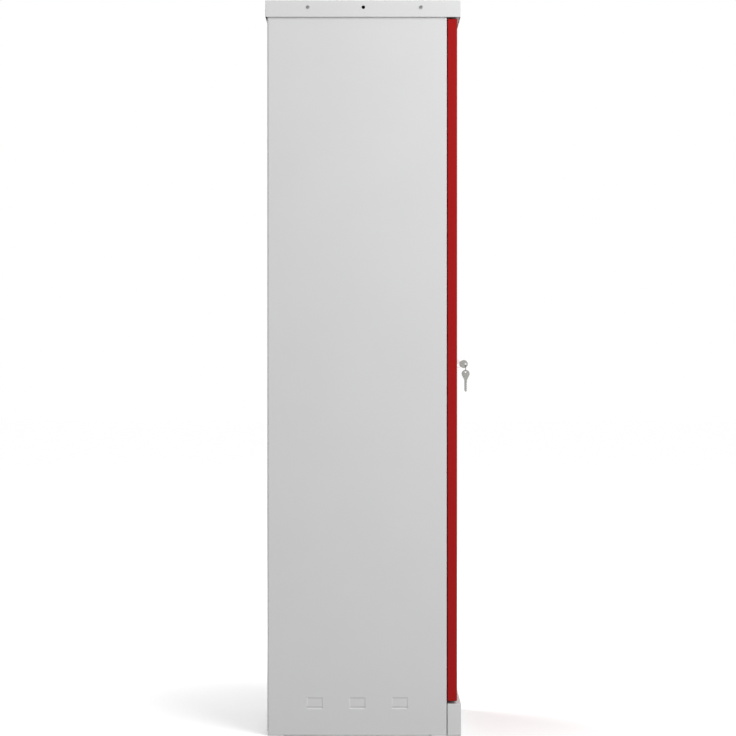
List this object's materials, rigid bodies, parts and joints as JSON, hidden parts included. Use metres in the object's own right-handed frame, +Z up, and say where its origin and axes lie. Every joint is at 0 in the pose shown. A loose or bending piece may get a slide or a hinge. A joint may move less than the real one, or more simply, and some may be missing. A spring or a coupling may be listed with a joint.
{
  "type": "metal storage cabinet",
  "caption": "Tall narrow folded-sheet steel cabinet with one hinged door, adjustable shelves, an overhanging cap, a plinth and a key lock that throws rods up and down.",
  "frame": {"origin": "on the floor, under the middle of the overall box, keys included", "axes": "+Z up, -Y out of the door, +X to the right of someone facing the door, where its hinge is"},
  "size_m": [0.4896, 0.5303, 1.9],
  "materials": {
    "grey_paint": "light grey powder coat, satin",
    "red_paint": "deep red powder coat, satin",
    "zinc": "bright zinc plate",
    "chrome": "bright chrome plate",
    "nickel": "nickel plate, slightly dull",
    "nylon": "natural nylon",
    "rubber": "black rubber"
  },
  "bodies": {
    "cabinet": {"left_side_panel": "grey_paint", "right_side_panel": "grey_paint", "back_panel": "grey_paint", "bottom_panel": "grey_paint", "header_rail": "grey_paint", "top_cap": "grey_paint", "front_plinth": "grey_paint", "upright_front_left": "grey_paint", "upright_front_right": "grey_paint", "upright_rear_left": "grey_paint", "upright_rear_right": "grey_paint", "shelf_1": "grey_paint", "shelf_2": "grey_paint", "shelf_3": "grey_paint", "shelf_4": "grey_paint", "shelf_clip_1_front_left": "zinc", "shelf_clip_1_front_right": "zinc", "shelf_clip_1_rear_left": "zinc", "shelf_clip_1_rear_right": "zinc", "shelf_clip_2_front_left": "zinc", "shelf_clip_2_front_right": "zinc", "shelf_clip_2_rear_left": "zinc", "shelf_clip_2_rear_right": "zinc", "shelf_clip_3_front_left": "zinc", "shelf_clip_3_front_right": "zinc", "shelf_clip_3_rear_left": "zinc", "shelf_clip_3_rear_right": "zinc", "shelf_clip_4_front_left": "zinc", "shelf_clip_4_front_right": "zinc", "shelf_clip_4_rear_left": "zinc", "shelf_clip_4_rear_right": "zinc", "cap_screw_1": "zinc", "cap_screw_2": "zinc", "cap_screw_3": "zinc", "cap_screw_4": "zinc", "upper_pivot_pin": "zinc", "lower_pivot_pin": "zinc", "door_buffer_1": "rubber", "door_buffer_2": "rubber"},
    "door": {"door_panel": "red_paint", "door_stiffener": "red_paint", "upper_pivot_bush": "nylon", "lower_pivot_bush": "nylon", "lock_body": "chrome", "lock_nut": "zinc", "upper_rod_guide": "zinc", "lower_rod_guide": "zinc"},
    "lock": {"lock_plug": "nickel", "lock_cam": "zinc", "cam_nut": "zinc", "key": "nickel"},
    "upper_rod": {"upper_rod": "zinc"},
    "lower_rod": {"lower_rod": "zinc"},
    "ring": {"key_ring": "nickel"},
    "spare_key": {"spare_key": "nickel"}
  },
  "joints": [
    {"name": "door_swing", "type": "hinge", "parent": "cabinet", "child": "door", "pos_m": [0.229, -0.22235, 0.97], "axis": [0, 0, 1], "range_deg": [0, 170]},
    {"name": "key_turn", "type": "hinge", "parent": "door", "child": "lock", "pos_m": [-0.1795, -0.23035, 0.961], "axis": [0, 1, 0], "range_deg": [0, 90]},
    {"name": "upper_rod_slide", "type": "slide", "parent": "door", "child": "upper_rod", "axis": [0, 0, 1], "range_m": [0, 0.0198]},
    {"name": "lower_rod_slide", "type": "slide", "parent": "door", "child": "lower_rod", "axis": [0, 0, -1], "range_m": [0, 0.0198]},
    {"name": "ring_swing", "type": "hinge", "parent": "lock", "child": "ring", "pos_m": [-0.1795, -0.25475, 0.95955], "axis": [1, 0, 0], "range_deg": [-75, 15]},
    {"name": "spare_key_slide", "type": "hinge", "parent": "ring", "child": "spare_key", "pos_m": [-0.1795, -0.25475, 0.95075], "axis": [0, 1, 0], "range_deg": [-90, 0]}
  ],
  "couplings": [
    {"joint": "upper_rod_slide", "follows": "key_turn", "m_per_rad": 0.012605},
    {"joint": "lower_rod_slide", "follows": "key_turn", "m_per_rad": 0.012605},
    {"joint": "spare_key_slide", "follows": "key_turn", "ratio": -1}
  ]
}
